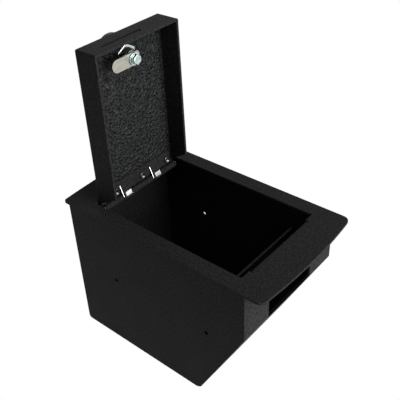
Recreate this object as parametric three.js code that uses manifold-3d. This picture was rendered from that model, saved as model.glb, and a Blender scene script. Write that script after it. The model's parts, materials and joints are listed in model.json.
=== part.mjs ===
// Console safe: a welded steel strongbox with a flush lid, a piano-type hinge and a cam lock.
//
// It drops into a console: the box hangs below a wide top flange. The lid is a shallow
// pan that plugs into the opening. It is drawn here as it stands open.
//
// Frame, in millimetres: +Z is up and z = 0 is the floor of the box. +X runs from the hinge to the
// front, and +Y from the near side wall to the far one. The origin is under the middle of the flange.

import * as THREE from 'three';
import { mergeVertices } from 'three/addons/utils/BufferGeometryUtils.js';
import Module from 'manifold-3d';

const wasm = await Module();
wasm.setup();

// Sheet metal
const PLATE = 2.7;
const WELD_GAP = 0.1;
const SEAT_GAP = 0.3;
const HEIGHT = 178;

// Flange: a plate whose two ends bow outwards, the front one more than the hinge end
const FLANGE_LENGTH = 276;
const FLANGE_WIDTH = 160;
const FRONT_BOW = 5;
const FRONT_CORNER = 8;
const HINGE_BOW = 2.7;
const HINGE_CORNER = 4;
const EDGE_ROUNDING = 0.6;

// Box below the flange
const BODY_WIDTH = 158.4;
const HINGE_WALL_X = -127.7;
const FRONT_WALL_X = 112.2;
const FRONT_WALL_DROP = 60.7;
const FLOOR_FRONT_X = 52.5;
const WALL_BEND = 4;
const FLOOR_BEND = 6;
const SIDE_HOLE_DIAMETER = 5;
const SIDE_HOLE_SPACING = 130;
const SIDE_HOLE_HEIGHT = 97;

// Notch in the front wall, and the guard plate behind it that closes it off inside
const NOTCH_WIDTH = 76;
const NOTCH_BELOW_FOOT = 5;
const CHANNEL_DEPTH = 37;
const CHANNEL_DROP = 45;
const CHANNEL_INSET = 15.5;
const CHANNEL_BEND = 3.5;

// Lid pan
const LID_LENGTH = 184.5;
const LID_WIDTH = 117.4;
const LID_DEPTH = 27.4;
const LID_BEND = 2;
const LID_PROUD = 1.6;
const LID_SIDE_GAP = 3.4;
const LID_FRONT_GAP = 7;
const LID_WALL_START = 6;
const LID_WALL_SLANT = 15;
const OPEN_ANGLE = 90.7;

// Lips folded down from the opening's two ends, with a relief slit at each end of a fold
const STRIKE_LIP_BEND = 4.4;
const STRIKE_LIP_WIDTH = 97;
const HINGE_LIP_BEND = 3;
const HINGE_LIP_WIDTH = 116;
const RELIEF_SLIT = 1;

// Hinge
const HINGE_X = -93.5;
const LEAF = 1.8;
const LEAF_GAP = 0.1;
const PIN_RADIUS = 1.6;
const PIN_CLEARANCE = 0.3;
const PIN_HEAD_RADIUS = 2.6;
const PIN_HEAD_LENGTH = 1.2;
const HINGE_EDGE_GAP = 8.6;
const KNUCKLE_GAP = 0.5;
const KNUCKLE_CLEARANCE = 0.5;
const MIDDLE_KNUCKLE = 35;
const LID_KNUCKLE = 13.5;
const OUTER_KNUCKLE = 27;
const LID_LEAF_END_GAP = 4;
const LID_LEAF_REACH = 21.5;
const LID_FINGER_REACH = 14.5;
const BOX_LEAF_REACH = 18.5;
const RIVET_END_MARGIN = 10;
const RIVET_SHIFT = 4.5;
const RIVET_X = 10.5;
const RIVET_HEAD_RADIUS = 4.2;
const RIVET_HEAD_HEIGHT = 1.9;
const RIVET_SHANK_RADIUS = 2;
const RIVET_BITE = 1.7;

// Cam lock
const LOCK_FROM_FRONT = 26;
const LOCK_HEAD_RADIUS = 19.7;
const LOCK_HEAD_HEIGHT = 17.9;
const LOCK_HEAD_ROUNDING = 3;
const LOCK_FACE_RECESS = 1;
const BARREL_RADIUS = 9.4;
const BARREL_LENGTH = 13.2;
const BARREL_FLATS = 16;
const BARREL_FIT = 0.3;
const NUT_ACROSS_FLATS = 24;
const NUT_THICKNESS = 5;
const PLUG_RADIUS = 5.5;
const PLUG_CLEARANCE = 0.3;
const PLUG_HEAD_RADIUS = 7;
const PLUG_HEAD_THICKNESS = 2.5;
const TAIL_SQUARE = 7.4;
const TAIL_FIT = 0.3;
const KEYWAY_WIDTH = 2;
const KEYWAY_HEIGHT = 8;
const KEYWAY_DEPTH = 20;
const STOP_WASHER_RADIUS = 8.4;
const STOP_WASHER_THICKNESS = 1;
const CAM_WIDTH = 17;
const CAM_REACH = 37;
const CAM_TAIL = 9.5;
const CAM_THICKNESS = 2.5;
const CAM_ROUNDING = 0.3;
const CAM_WASHER_RADIUS = 6.8;
const CAM_WASHER_THICKNESS = 1.2;
const SCREW_RADIUS = 2.4;
const SCREW_CLEARANCE = 0.3;
const SCREW_LENGTH = 12;
const SCREW_ACROSS_FLATS = 10;
const SCREW_HEAD_HEIGHT = 4;
const SLOT_CLEARANCE = 1;
const SLOT_BEFORE = 40;
const SLOT_AFTER = 14.3;

// Worked out from the sizes above
const FLANGE_UNDER = HEIGHT - PLATE;
const FRONT_WALL_FOOT = HEIGHT - FRONT_WALL_DROP;
const SIDE_INSIDE = BODY_WIDTH / 2 - PLATE;
const CHANNEL_HALF = SIDE_INSIDE - CHANNEL_INSET;
const KNUCKLE_RADIUS = PIN_RADIUS + PIN_CLEARANCE + LEAF;
const HINGE_DEPTH = PLATE + LEAF_GAP + KNUCKLE_RADIUS;
const HINGE_Z = HEIGHT - HINGE_DEPTH;
const LID_TOP = HINGE_DEPTH + LID_PROUD;
const LID_INSIDE = HINGE_DEPTH - PLATE;
const LID_RIM = HINGE_DEPTH - LID_DEPTH;
const OPENING_HALF = LID_WIDTH / 2 + LID_SIDE_GAP;
const OPENING_FRONT = HINGE_X + LID_LENGTH + LID_FRONT_GAP;
const OPENING_HINGE = HINGE_X - HINGE_EDGE_GAP;
const LID_LEAF_HALF = LID_WIDTH / 2 - PLATE - LID_LEAF_END_GAP;
const RIVET_SPACING = LID_LEAF_HALF - RIVET_END_MARGIN;
const LOCK_X = LID_LENGTH - LOCK_FROM_FRONT;
const BARREL_END = HINGE_DEPTH - BARREL_LENGTH;
const STOP_WASHER_TOP = BARREL_END - SEAT_GAP;
const CAM_TOP = STOP_WASHER_TOP - STOP_WASHER_THICKNESS - SEAT_GAP;
const CAM_UNDER = CAM_TOP - CAM_THICKNESS;
const SHELF_TOP = HINGE_Z + LID_RIM - SEAT_GAP;
const CHANNEL_X = FRONT_WALL_X - PLATE - CHANNEL_DEPTH;

const coat = new THREE.MeshStandardMaterial({ color: 0x232424, roughness: 0.72, metalness: 0.1 });
const lidCoat = new THREE.MeshStandardMaterial({ color: 0x2a2b2b, roughness: 0.7, metalness: 0.1 });
const bareSteel = new THREE.MeshStandardMaterial({ color: 0xb9bbb8, roughness: 0.35, metalness: 1 });
const zinc = new THREE.MeshStandardMaterial({ color: 0xb4c0be, roughness: 0.3, metalness: 1 });
const camSteel = new THREE.MeshStandardMaterial({ color: 0xd2ccbf, roughness: 0.4, metalness: 0.9 });
const lockBlack = new THREE.MeshStandardMaterial({ color: 0x1b1c1d, roughness: 0.45, metalness: 0.4 });

// A closed three.js geometry as a solid that can be joined and cut.
function solid(geometry) {
  const bare = geometry.clone();
  bare.deleteAttribute('normal');
  bare.deleteAttribute('uv');
  const merged = mergeVertices(bare, 1e-4);
  const vertProperties = new Float32Array(merged.attributes.position.array);
  const triVerts = new Uint32Array(merged.index.array);
  return new wasm.Manifold(new wasm.Mesh({ numProp: 3, vertProperties, triVerts }));
}

function geometryOf(manifold) {
  const mesh = manifold.getMesh();
  const geometry = new THREE.BufferGeometry();
  geometry.setAttribute('position', new THREE.BufferAttribute(new Float32Array(mesh.vertProperties), 3));
  geometry.setIndex(new THREE.BufferAttribute(new Uint32Array(mesh.triVerts), 1));
  geometry.computeVertexNormals();
  return geometry;
}

// A shape through corners [x, y, radius]. A corner with a radius becomes an arc.
function outline(corners) {
  const shape = new THREE.Shape();
  const goTo = (x, y, i) => (i === 0 ? shape.moveTo(x, y) : shape.lineTo(x, y));
  corners.forEach(([x, y, radius], i) => {
    const corner = new THREE.Vector2(x, y);
    if (!radius) {
      goTo(x, y, i);
      return;
    }
    const [px, py] = corners.at(i - 1);
    const [nx, ny] = corners[(i + 1) % corners.length];
    const before = new THREE.Vector2(px, py).sub(corner).normalize();
    const after = new THREE.Vector2(nx, ny).sub(corner).normalize();
    const half = Math.acos(before.dot(after)) / 2;
    const reach = radius / Math.tan(half);
    const middle = before.clone().add(after).normalize();
    const centre = corner.clone().addScaledVector(middle, radius / Math.sin(half));
    const start = corner.clone().addScaledVector(before, reach);
    goTo(start.x, start.y, i);
    start.sub(centre);
    const end = corner.clone().addScaledVector(after, reach).sub(centre);
    const clockwise = before.cross(after) > 0;
    shape.absarc(centre.x, centre.y, radius, start.angle(), end.angle(), clockwise);
  });
  return shape;
}

// A folded strip of sheet: the outer face runs through the corners, and the metal is on their left.
function foldedStrip(corners, thickness) {
  const points = corners.map(([x, y]) => new THREE.Vector2(x, y));
  const leftOf = (a, b) => new THREE.Vector2(a.y - b.y, b.x - a.x).normalize();
  const inner = corners.map(([, , radius], i) => {
    const here = points[i];
    const first = i > 0 ? leftOf(points[i - 1], here) : leftOf(here, points[1]);
    const second = i < points.length - 1 ? leftOf(here, points[i + 1]) : first;
    const shift = first.clone().add(second).multiplyScalar(thickness / (1 + first.dot(second)));
    return [here.x + shift.x, here.y + shift.y, radius ? radius - thickness : 0];
  });
  return outline([...corners, ...inner.reverse()]);
}

// A plan outline (x, y) made into a plate from z = low to z = high.
function plate(shape, low, high, rounding = 0, curveSegments = 8) {
  const geometry = new THREE.ExtrudeGeometry(shape, {
    depth: high - low - 2 * rounding,
    bevelEnabled: rounding > 0,
    bevelThickness: rounding,
    bevelSize: rounding,
    bevelOffset: -rounding,
    bevelSegments: 2,
    curveSegments,
  });
  geometry.translate(0, 0, low + rounding);
  return geometry;
}

// A side outline (x, z) made into a solid from y = near to y = far.
function sideways(shape, near, far, curveSegments = 6) {
  const depth = far - near;
  const geometry = new THREE.ExtrudeGeometry(shape, { depth, bevelEnabled: false, curveSegments });
  geometry.rotateX(Math.PI / 2);
  geometry.translate(0, far, 0);
  return geometry;
}

// An end outline (y, z) made into a solid from x = back to x = front.
function lengthways(shape, back, front, curveSegments = 6) {
  const depth = front - back;
  const geometry = new THREE.ExtrudeGeometry(shape, { depth, bevelEnabled: false, curveSegments });
  geometry.rotateX(Math.PI / 2);
  geometry.rotateZ(Math.PI / 2);
  geometry.translate(back, 0, 0);
  return geometry;
}

function block(low, high) {
  const size = high.map((value, i) => value - low[i]);
  const geometry = new THREE.BoxGeometry(...size);
  geometry.translate(...low.map((value, i) => value + size[i] / 2));
  return geometry;
}

// A round bar along Z, or along Y when it is turned.
function roundBar(radius, low, high, facets = 32) {
  const geometry = new THREE.CylinderGeometry(radius, radius, high - low, facets);
  geometry.translate(0, (low + high) / 2, 0);
  return geometry;
}

function standing(geometry) {
  geometry.rotateX(Math.PI / 2);
  return geometry;
}

function revolved(profile, facets = 40) {
  const points = profile.map(([radius, height]) => new THREE.Vector2(radius, height));
  return standing(new THREE.LatheGeometry(points, facets));
}

function hexagon(acrossFlats, low, high, rounding) {
  const corner = acrossFlats / 2 / Math.cos(Math.PI / 6);
  const corners = [0, 1, 2, 3, 4, 5].map((i) => {
    const angle = (i * Math.PI) / 3;
    return [corner * Math.cos(angle), corner * Math.sin(angle), 0];
  });
  return plate(outline(corners), low, high, rounding);
}

const safe = new THREE.Group();
const lid = new THREE.Group();
const lockPlug = new THREE.Group();

function addPiece(group, name, geometry, material) {
  const mesh = new THREE.Mesh(geometry, material);
  mesh.name = name;
  group.add(mesh);
}

// Flange plate

// One bowed end, measured from the middle of the flange: its big arc and its two corner arcs.
function bowedEnd(bow, corner) {
  const half = FLANGE_WIDTH / 2;
  const radius = (half * half + bow * bow) / (2 * bow);
  const centre = FLANGE_LENGTH / 2 - radius;
  const cornerY = half - corner;
  const cornerX = centre + Math.sqrt((radius - corner) ** 2 - cornerY ** 2);
  const angle = Math.asin(cornerY / (radius - corner));
  return { radius, centre, corner, cornerX, cornerY, angle };
}

function flangeOutline() {
  const front = bowedEnd(FRONT_BOW, FRONT_CORNER);
  const hinge = bowedEnd(HINGE_BOW, HINGE_CORNER);
  const turn = Math.PI;
  const shape = new THREE.Shape();
  shape.absarc(front.centre, 0, front.radius, -front.angle, front.angle, false);
  shape.absarc(front.cornerX, front.cornerY, front.corner, front.angle, turn / 2, false);
  shape.absarc(-hinge.cornerX, hinge.cornerY, hinge.corner, turn / 2, turn - hinge.angle, false);
  shape.absarc(-hinge.centre, 0, hinge.radius, turn - hinge.angle, turn + hinge.angle, false);
  shape.absarc(-hinge.cornerX, -hinge.cornerY, hinge.corner, turn + hinge.angle, 1.5 * turn, false);
  shape.absarc(front.cornerX, -front.cornerY, front.corner, -turn / 2, -front.angle, false);
  return shape;
}

// A lip folded down from the flange at x = edge. Side is +1 where the flange lies at +X of it.
function foldedLip(edge, side, width, bend, foot) {
  const corners = [
    [bend + PLATE, HEIGHT, 0],
    [0, HEIGHT, bend],
    [0, foot, 0],
  ];
  const shape = foldedStrip(corners, PLATE);
  const lip = sideways(shape, -width / 2, width / 2);
  if (side < 0) lip.rotateZ(Math.PI);
  lip.translate(edge, 0, 0);
  return lip;
}

function flangePlate() {
  const shape = flangeOutline();
  const strikeHalf = STRIKE_LIP_WIDTH / 2 + RELIEF_SLIT;
  const hingeHalf = HINGE_LIP_WIDTH / 2 + RELIEF_SLIT;
  const foldFront = OPENING_FRONT + STRIKE_LIP_BEND;
  const foldBack = OPENING_HINGE - HINGE_LIP_BEND;
  const corners = [
    [OPENING_HINGE, -OPENING_HALF, 0],
    [OPENING_HINGE, -hingeHalf, 0],
    [foldBack, -hingeHalf, 0],
    [foldBack, hingeHalf, 0],
    [OPENING_HINGE, hingeHalf, 0],
    [OPENING_HINGE, OPENING_HALF, 0],
    [OPENING_FRONT, OPENING_HALF, 1],
    [OPENING_FRONT, strikeHalf, 0],
    [foldFront, strikeHalf, 0],
    [foldFront, -strikeHalf, 0],
    [OPENING_FRONT, -strikeHalf, 0],
    [OPENING_FRONT, -OPENING_HALF, 1],
  ];
  shape.holes.push(new THREE.Path(outline(corners).getPoints(3)));
  const strikeFoot = HINGE_Z + CAM_TOP + SEAT_GAP;
  const hingeFoot = HINGE_Z - KNUCKLE_RADIUS + LEAF + WELD_GAP;
  return geometryOf(
    solid(plate(shape, FLANGE_UNDER, HEIGHT, EDGE_ROUNDING, 12))
      .add(solid(foldedLip(OPENING_FRONT, 1, STRIKE_LIP_WIDTH, STRIKE_LIP_BEND, strikeFoot)))
      .add(solid(foldedLip(OPENING_HINGE, -1, HINGE_LIP_WIDTH, HINGE_LIP_BEND, hingeFoot))),
  );
}

addPiece(safe, 'flange_plate', flangePlate(), coat);

// Box below the flange

const WALL_TOP = FLANGE_UNDER - WELD_GAP;
const WRAP_CORNERS = [
  [HINGE_WALL_X, WALL_TOP, 0],
  [HINGE_WALL_X, 0, WALL_BEND],
  [FLOOR_FRONT_X, 0, FLOOR_BEND],
  [FRONT_WALL_X, FRONT_WALL_FOOT, WALL_BEND],
  [FRONT_WALL_X, WALL_TOP, 0],
];
const SLOPE = (FRONT_WALL_X - FLOOR_FRONT_X) / FRONT_WALL_FOOT;

// The inner face of the sloped wall at a height.
function slopeInside(z) {
  return FLOOR_FRONT_X + SLOPE * z - PLATE * Math.hypot(1, SLOPE);
}

function bodyWrapSheet() {
  const half = SIDE_INSIDE - WELD_GAP;
  const sheet = solid(sideways(foldedStrip(WRAP_CORNERS, PLATE), -half, half));
  const low = FRONT_WALL_FOOT - NOTCH_BELOW_FOOT;
  const high = SHELF_TOP - PLATE - SEAT_GAP;
  const notch = block(
    [FRONT_WALL_X - 4 * PLATE, -NOTCH_WIDTH / 2, low],
    [FRONT_WALL_X + PLATE, NOTCH_WIDTH / 2, high],
  );
  return geometryOf(sheet.subtract(solid(notch)));
}

function sidePlate(side) {
  const inner = side * SIDE_INSIDE;
  const outer = (side * BODY_WIDTH) / 2;
  let wall = solid(sideways(outline(WRAP_CORNERS), Math.min(inner, outer), Math.max(inner, outer)));
  for (const end of [-1, 1]) {
    const hole = roundBar(SIDE_HOLE_DIAMETER / 2, -2 * PLATE, 2 * PLATE, 24);
    hole.translate((end * SIDE_HOLE_SPACING) / 2, outer, SIDE_HOLE_HEIGHT);
    wall = wall.subtract(solid(hole));
  }
  return geometryOf(wall);
}

addPiece(safe, 'body_wrap_sheet', bodyWrapSheet(), coat);
addPiece(safe, 'near_side_plate', sidePlate(-1), coat);
addPiece(safe, 'far_side_plate', sidePlate(1), coat);

// Guard plate behind the notch. It is open at its top, and the closed lid's side walls rest on its edge.

const CHANNEL_FOOT = SHELF_TOP - CHANNEL_DROP;
const CHANNEL_FRONT = FRONT_WALL_X - PLATE - WELD_GAP;

function stopChannel() {
  const corners = [
    [CHANNEL_X, SHELF_TOP, 0],
    [CHANNEL_X, CHANNEL_FOOT, CHANNEL_BEND],
    [slopeInside(CHANNEL_FOOT) - SEAT_GAP, CHANNEL_FOOT, 0],
  ];
  return sideways(foldedStrip(corners, PLATE), -CHANNEL_HALF, CHANNEL_HALF);
}

function channelEnd(side) {
  const slopeTop = (CHANNEL_FRONT - slopeInside(0) + SEAT_GAP) / SLOPE;
  const corners = [
    [CHANNEL_FRONT, SHELF_TOP, 0],
    [CHANNEL_X, SHELF_TOP, 0],
    [CHANNEL_X, CHANNEL_FOOT, CHANNEL_BEND],
    [slopeInside(CHANNEL_FOOT) - SEAT_GAP, CHANNEL_FOOT, 0],
    [CHANNEL_FRONT, slopeTop, 0],
  ];
  const inner = CHANNEL_HALF + WELD_GAP;
  const faces = [side * inner, side * (inner + PLATE)];
  return sideways(outline(corners), Math.min(...faces), Math.max(...faces));
}

addPiece(safe, 'stop_channel', stopChannel(), coat);
addPiece(safe, 'channel_end_near', channelEnd(-1), coat);
addPiece(safe, 'channel_end_far', channelEnd(1), coat);

// Hinge. The knuckles from the near end are box, lid, box, lid, box.

const LEAF_START = KNUCKLE_RADIUS + KNUCKLE_CLEARANCE;
const LID_KNUCKLE_START = MIDDLE_KNUCKLE / 2;
const OUTER_KNUCKLE_START = LID_KNUCKLE_START + LID_KNUCKLE;
const HINGE_HALF = OUTER_KNUCKLE_START + OUTER_KNUCKLE;
const BOX_KNUCKLES = [
  [-HINGE_HALF, -OUTER_KNUCKLE_START],
  [-LID_KNUCKLE_START, LID_KNUCKLE_START],
  [OUTER_KNUCKLE_START, HINGE_HALF],
];
const LID_KNUCKLES = [
  [-OUTER_KNUCKLE_START, -LID_KNUCKLE_START],
  [LID_KNUCKLE_START, OUTER_KNUCKLE_START],
];

const LEAF_UNDER = KNUCKLE_RADIUS - LEAF;

// The flat part of a leaf in the lid's frame, where it lies along +X.
function flatLeaf(reach, halfLength) {
  return solid(block([LEAF_START, -halfLength, LEAF_UNDER], [reach, halfLength, KNUCKLE_RADIUS]));
}

// A leaf with rolled knuckles. The finger is the side outline that joins each of them to the flat part.
function withKnuckles(leaf, knuckles, finger) {
  let joined = leaf;
  for (const [start, end] of knuckles) {
    const near = start + KNUCKLE_GAP / 2;
    const far = end - KNUCKLE_GAP / 2;
    joined = joined
      .add(solid(sideways(outline(finger), near, far)))
      .add(solid(roundBar(KNUCKLE_RADIUS, near, far, 24)));
  }
  return joined.subtract(solid(roundBar(PIN_RADIUS + PIN_CLEARANCE, -2 * HINGE_HALF, 2 * HINGE_HALF, 16)));
}

// The box's leaf meets its knuckles at their top.
function boxLeaf() {
  const finger = [
    [0, LEAF_UNDER, 0],
    [LEAF_START + 1, LEAF_UNDER, 0],
    [LEAF_START + 1, KNUCKLE_RADIUS, 0],
    [0, KNUCKLE_RADIUS, 0],
  ];
  const leaf = withKnuckles(flatLeaf(BOX_LEAF_REACH, HINGE_HALF - KNUCKLE_GAP), BOX_KNUCKLES, finger);
  const geometry = geometryOf(leaf);
  geometry.rotateY(Math.PI);
  geometry.translate(HINGE_X, 0, HINGE_Z);
  return geometry;
}

function hingePin() {
  const shank = solid(roundBar(PIN_RADIUS, -HINGE_HALF - 1, HINGE_HALF + 1, 16));
  const near = -HINGE_HALF - PIN_HEAD_LENGTH;
  const far = HINGE_HALF + PIN_HEAD_LENGTH;
  const pin = shank
    .add(solid(roundBar(PIN_HEAD_RADIUS, near, -HINGE_HALF, 20)))
    .add(solid(roundBar(PIN_HEAD_RADIUS, HINGE_HALF, far, 20)));
  const geometry = geometryOf(pin);
  geometry.translate(HINGE_X, 0, HINGE_Z);
  return geometry;
}

addPiece(safe, 'hinge_box_leaf', boxLeaf(), coat);
addPiece(safe, 'hinge_pin', hingePin(), bareSteel);

// Lid. Its frame has its origin on the hinge axis, and the closed lid lies along +X.

const RIVET_PLACES = [-1, 0, 1].map((place) => RIVET_SHIFT + place * RIVET_SPACING);
const RIVET_HOLE_RADIUS = RIVET_SHANK_RADIUS + LEAF_GAP;
const RIVET_TOP = LID_INSIDE + RIVET_BITE;

// The pan's outer block, or what is cut out of it, with its bends rounded on three sides.
function panBlock(inset, top, below) {
  const half = LID_WIDTH / 2 - inset;
  const front = LID_LENGTH - inset;
  const foot = LID_RIM - below;
  const back = -below;
  const bend = Math.max(LID_BEND - inset, 0);
  const fromAbove = outline([[back, -half, 0], [front, -half, bend], [front, half, bend], [back, half, 0]]);
  const fromSide = outline([[back, foot, 0], [front, foot, 0], [front, top, bend], [back, top, 0]]);
  const fromFront = outline([[-half, foot, 0], [half, foot, 0], [half, top, bend], [-half, top, bend]]);
  return solid(plate(fromAbove, foot, top))
    .intersect(solid(sideways(fromSide, -half, half)))
    .intersect(solid(lengthways(fromFront, back, front)));
}

function lidPan() {
  const sideOutline = outline([
    [0, LID_TOP + 1, 0],
    [0, LID_INSIDE - WELD_GAP, 0],
    [LID_WALL_START, LID_INSIDE - WELD_GAP, 0],
    [LID_WALL_START + LID_WALL_SLANT, LID_RIM, 0],
    [LID_LENGTH + 1, LID_RIM, 0],
    [LID_LENGTH + 1, LID_TOP + 1, 0],
  ]);
  const camMiddle = CAM_TOP - CAM_THICKNESS / 2;
  const slotHalf = CAM_THICKNESS / 2 + SLOT_CLEARANCE;
  const slot = block(
    [LID_LENGTH - 2 * PLATE, -SLOT_BEFORE, camMiddle - slotHalf],
    [LID_LENGTH + PLATE, SLOT_AFTER, camMiddle + slotHalf],
  );
  let pan = panBlock(0, LID_TOP, PLATE)
    .subtract(panBlock(PLATE, LID_INSIDE, 2 * PLATE))
    .intersect(solid(sideways(sideOutline, -LID_WIDTH, LID_WIDTH)))
    .subtract(solid(slot))
    .subtract(solid(lockBarrel(BARREL_FIT, LID_INSIDE - 1, LID_TOP + 1)));
  for (const y of RIVET_PLACES) {
    const hole = standing(roundBar(RIVET_HOLE_RADIUS, LID_INSIDE - 1, RIVET_TOP + LEAF_GAP, 16));
    hole.translate(RIVET_X, y, 0);
    pan = pan.subtract(solid(hole));
  }
  return geometryOf(pan);
}

// The threaded barrel with its two flats, larger all round by fit.
function lockBarrel(fit, low, high) {
  const half = BARREL_FLATS / 2 + fit;
  const round = solid(standing(roundBar(BARREL_RADIUS + fit, low, high, 40)));
  const between = solid(block([-2 * BARREL_RADIUS, -half, low - 1], [2 * BARREL_RADIUS, half, high + 1]));
  return geometryOf(round.intersect(between)).translate(LOCK_X, 0, 0);
}

// The lid's fingers slant down from the leaf and roll round the pin from below.
function lidFinger() {
  const toFinger = Math.atan2(LEAF_UNDER, LID_FINGER_REACH);
  const angle = toFinger - Math.acos(KNUCKLE_RADIUS / Math.hypot(LID_FINGER_REACH, LEAF_UNDER));
  const across = [Math.cos(angle), Math.sin(angle)];
  return [
    [LEAF_UNDER * across[0], LEAF_UNDER * across[1], 0],
    [KNUCKLE_RADIUS * across[0], KNUCKLE_RADIUS * across[1], 0],
    [LID_FINGER_REACH, LEAF_UNDER, 0],
    [LID_FINGER_REACH, KNUCKLE_RADIUS, 0],
    [LID_FINGER_REACH - LEAF * across[0], LEAF_UNDER - LEAF * across[1], 0],
  ];
}

function lidLeaf() {
  let flat = flatLeaf(LID_LEAF_REACH, LID_LEAF_HALF);
  for (const [start, end] of LID_KNUCKLES) {
    flat = flat.subtract(solid(block([0, start, 0], [LID_FINGER_REACH - LEAF / 2, end, LID_TOP])));
  }
  let leaf = withKnuckles(flat, LID_KNUCKLES, lidFinger());
  for (const y of RIVET_PLACES) {
    const hole = standing(roundBar(RIVET_HOLE_RADIUS, 0, LID_TOP, 16));
    hole.translate(RIVET_X, y, 0);
    leaf = leaf.subtract(solid(hole));
  }
  return geometryOf(leaf);
}

// A round head below the leaf, with a shank into the plate.
function leafRivet(y) {
  const seat = KNUCKLE_RADIUS - LEAF - LEAF_GAP;
  const profile = [
    [0, seat - RIVET_HEAD_HEIGHT],
    [0.45 * RIVET_HEAD_RADIUS, seat - 0.92 * RIVET_HEAD_HEIGHT],
    [0.8 * RIVET_HEAD_RADIUS, seat - 0.62 * RIVET_HEAD_HEIGHT],
    [RIVET_HEAD_RADIUS, seat - 0.15 * RIVET_HEAD_HEIGHT],
    [RIVET_HEAD_RADIUS, seat],
    [RIVET_SHANK_RADIUS, seat],
    [RIVET_SHANK_RADIUS, RIVET_TOP],
    [0, RIVET_TOP],
  ];
  return revolved(profile, 20).translate(RIVET_X, y, 0);
}

addPiece(lid, 'lid_pan', lidPan(), lidCoat);
addPiece(lid, 'hinge_lid_leaf', lidLeaf(), coat);
RIVET_PLACES.forEach((y, i) => addPiece(lid, `leaf_rivet_${i + 1}`, leafRivet(y), bareSteel));

// Cam lock: the fixed body and its nut

const HEAD_SEAT = LID_TOP + WELD_GAP;
const HEAD_TOP = LID_TOP + LOCK_HEAD_HEIGHT;
const PLUG_TOP = HEAD_TOP - LOCK_FACE_RECESS;
const PLUG_HEAD_SEAT = PLUG_TOP - PLUG_HEAD_THICKNESS;

function lockBody() {
  const shoulder = HEAD_TOP - LOCK_HEAD_ROUNDING;
  const profile = [[0, HEAD_SEAT], [LOCK_HEAD_RADIUS, HEAD_SEAT], [LOCK_HEAD_RADIUS, shoulder]];
  for (const share of [0.25, 0.5, 0.75, 1]) {
    const angle = (share * Math.PI) / 2;
    const radius = LOCK_HEAD_RADIUS - LOCK_HEAD_ROUNDING * (1 - Math.cos(angle));
    profile.push([radius, shoulder + LOCK_HEAD_ROUNDING * Math.sin(angle)]);
  }
  profile.push([0, HEAD_TOP]);
  const head = revolved(profile).translate(LOCK_X, 0, 0);
  const bore = standing(roundBar(PLUG_RADIUS + PLUG_CLEARANCE, BARREL_END - 1, HEAD_TOP + 1, 32));
  const seatRadius = PLUG_HEAD_RADIUS + PLUG_CLEARANCE;
  const seat = standing(roundBar(seatRadius, PLUG_HEAD_SEAT - PLUG_CLEARANCE, HEAD_TOP + 1, 32));
  return geometryOf(
    solid(head)
      .add(solid(lockBarrel(0, BARREL_END, HEAD_SEAT + 1)))
      .subtract(solid(bore.translate(LOCK_X, 0, 0)))
      .subtract(solid(seat.translate(LOCK_X, 0, 0))),
  );
}

function mountingNut() {
  const top = LID_INSIDE - WELD_GAP;
  const nut = hexagon(NUT_ACROSS_FLATS, top - NUT_THICKNESS, top, EDGE_ROUNDING);
  const bore = standing(roundBar(BARREL_RADIUS + BARREL_FIT, top - 2 * NUT_THICKNESS, LID_TOP, 32));
  return geometryOf(solid(nut).subtract(solid(bore))).translate(LOCK_X, 0, 0);
}

addPiece(lid, 'lock_body', lockBody(), lockBlack);
addPiece(lid, 'lock_mounting_nut', mountingNut(), zinc);

// What turns with the key, in a frame on the lock's axis. The cam points to the near side.

const TAIL_END = CAM_UNDER + SEAT_GAP;
const TAIL_HOLE = TAIL_SQUARE / 2 + TAIL_FIT;
const SCREW_WASHER_TOP = CAM_UNDER - SEAT_GAP;
const SCREW_SEAT = SCREW_WASHER_TOP - CAM_WASHER_THICKNESS - SEAT_GAP;

function squareHole() {
  const h = TAIL_HOLE;
  return new THREE.Path([[-h, -h], [-h, h], [h, h], [h, -h]].map(([x, y]) => new THREE.Vector2(x, y)));
}

function keyPlug() {
  const half = TAIL_SQUARE / 2;
  const boreTop = SCREW_SEAT + SCREW_LENGTH + 1;
  const bore = standing(roundBar(SCREW_RADIUS + SCREW_CLEARANCE, TAIL_END - 1, boreTop, 20));
  const slot = [KEYWAY_WIDTH / 2, KEYWAY_HEIGHT / 2];
  const keyway = block([-slot[0], -slot[1], PLUG_TOP - KEYWAY_DEPTH], [slot[0], slot[1], PLUG_TOP + 1]);
  const ward = block([0, -slot[1] / 2, PLUG_TOP - KEYWAY_DEPTH], [2 * slot[0], -slot[1] / 8, PLUG_TOP + 1]);
  return geometryOf(
    solid(standing(roundBar(PLUG_RADIUS, BARREL_END, PLUG_TOP, 32)))
      .add(solid(standing(roundBar(PLUG_HEAD_RADIUS, PLUG_HEAD_SEAT, PLUG_TOP, 32))))
      .add(solid(block([-half, -half, TAIL_END], [half, half, BARREL_END + 1])))
      .subtract(solid(keyway))
      .subtract(solid(ward))
      .subtract(solid(bore)),
  );
}

function stopWasher() {
  const shape = new THREE.Shape();
  shape.absarc(0, 0, STOP_WASHER_RADIUS, 0, 2 * Math.PI, false);
  shape.holes.push(squareHole());
  return plate(shape, STOP_WASHER_TOP - STOP_WASHER_THICKNESS, STOP_WASHER_TOP);
}

function camPlate() {
  const half = CAM_WIDTH / 2;
  const shape = outline([
    [half, CAM_TAIL, half / 2],
    [-half, CAM_TAIL, half / 2],
    [-half, -CAM_REACH, half - 0.01],
    [half, -CAM_REACH, half - 0.01],
  ]);
  shape.holes.push(squareHole());
  return plate(shape, CAM_UNDER, CAM_TOP, CAM_ROUNDING, 8);
}

function camWasher() {
  const shape = new THREE.Shape();
  shape.absarc(0, 0, CAM_WASHER_RADIUS, 0, 2 * Math.PI, false);
  const hole = new THREE.Path();
  hole.absarc(0, 0, SCREW_RADIUS + SCREW_CLEARANCE, 0, 2 * Math.PI, true);
  shape.holes.push(hole);
  return plate(shape, SCREW_WASHER_TOP - CAM_WASHER_THICKNESS, SCREW_WASHER_TOP, 0, 12);
}

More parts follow.
